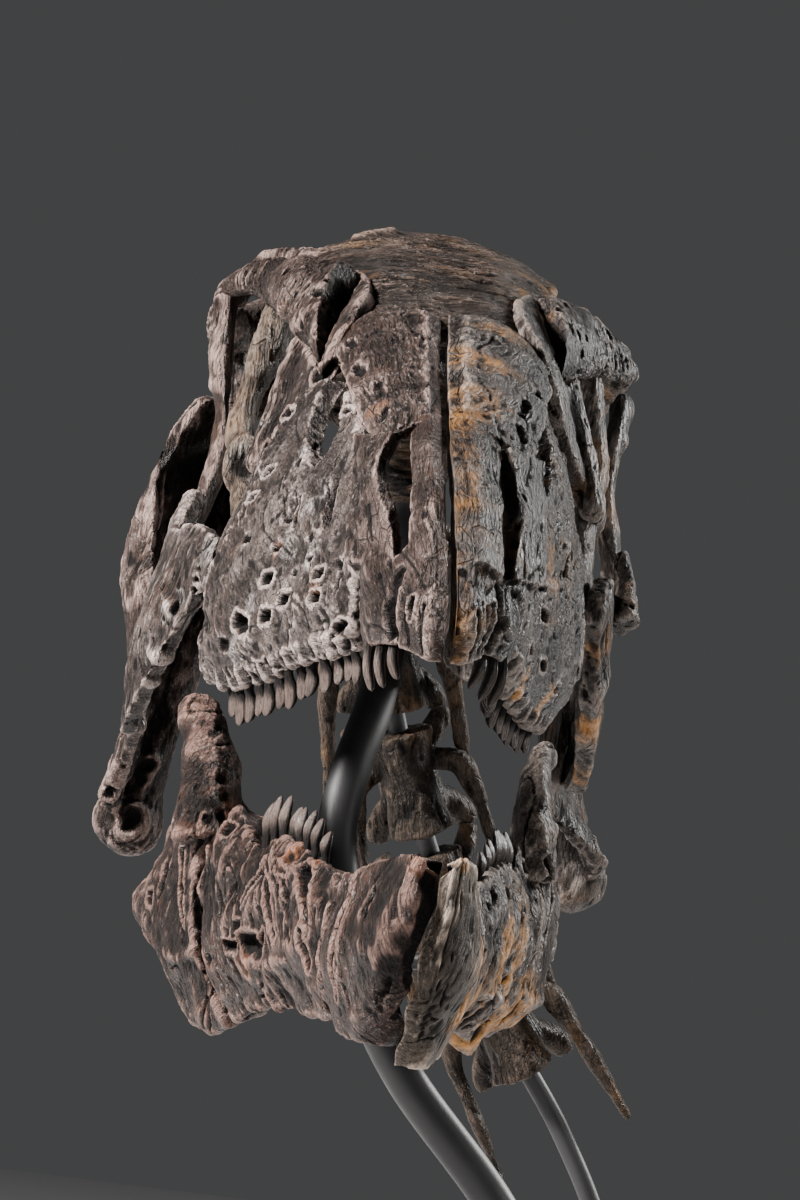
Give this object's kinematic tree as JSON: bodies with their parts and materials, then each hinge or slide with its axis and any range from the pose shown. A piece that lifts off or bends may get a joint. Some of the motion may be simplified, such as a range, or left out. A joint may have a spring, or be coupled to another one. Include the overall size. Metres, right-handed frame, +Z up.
{
  "type": "ornithopod dinosaur skull fossil",
  "caption": "Fossil skull of a plant-eating dinosaur with open jaws and its first neck bones, mounted on a black steel display stand.",
  "frame": {"origin": "centre of the base plate's underside", "axes": "+Z up, -Y the way the beak points, +X the animal's left"},
  "size_m": [0.34, 0.5209, 0.6207],
  "materials": {
    "fossil_bone": "dull, weathered, grey-brown mineralised bone with rust stains",
    "black_steel": "satin black"
  },
  "bodies": {
    "root": {"braincase": "fossil_bone", "dentary_left": "fossil_bone", "dentary_right": "fossil_bone", "jugal_left": "fossil_bone", "jugal_right": "fossil_bone", "maxilla_left": "fossil_bone", "maxilla_right": "fossil_bone", "nasal_left": "fossil_bone", "nasal_right": "fossil_bone", "neck_vertebra_1": "fossil_bone", "neck_vertebra_2": "fossil_bone", "neck_vertebra_3": "fossil_bone", "neck_vertebra_4": "fossil_bone", "neck_vertebra_5": "fossil_bone", "palate_left": "fossil_bone", "palate_right": "fossil_bone", "palpebral_left": "fossil_bone", "palpebral_right": "fossil_bone", "postorbital_left": "fossil_bone", "postorbital_right": "fossil_bone", "predentary_left": "fossil_bone", "predentary_right": "fossil_bone", "prefrontal_left": "fossil_bone", "prefrontal_right": "fossil_bone", "premaxilla_left": "fossil_bone", "premaxilla_right": "fossil_bone", "quadrate_left": "fossil_bone", "quadrate_right": "fossil_bone", "rear_jaw_left": "fossil_bone", "rear_jaw_right": "fossil_bone", "skull_roof": "fossil_bone", "squamosal_left": "fossil_bone", "squamosal_right": "fossil_bone", "stand_base": "black_steel", "stand_neck_rod": "black_steel", "stand_tube": "black_steel"}
  },
  "joints": []
}
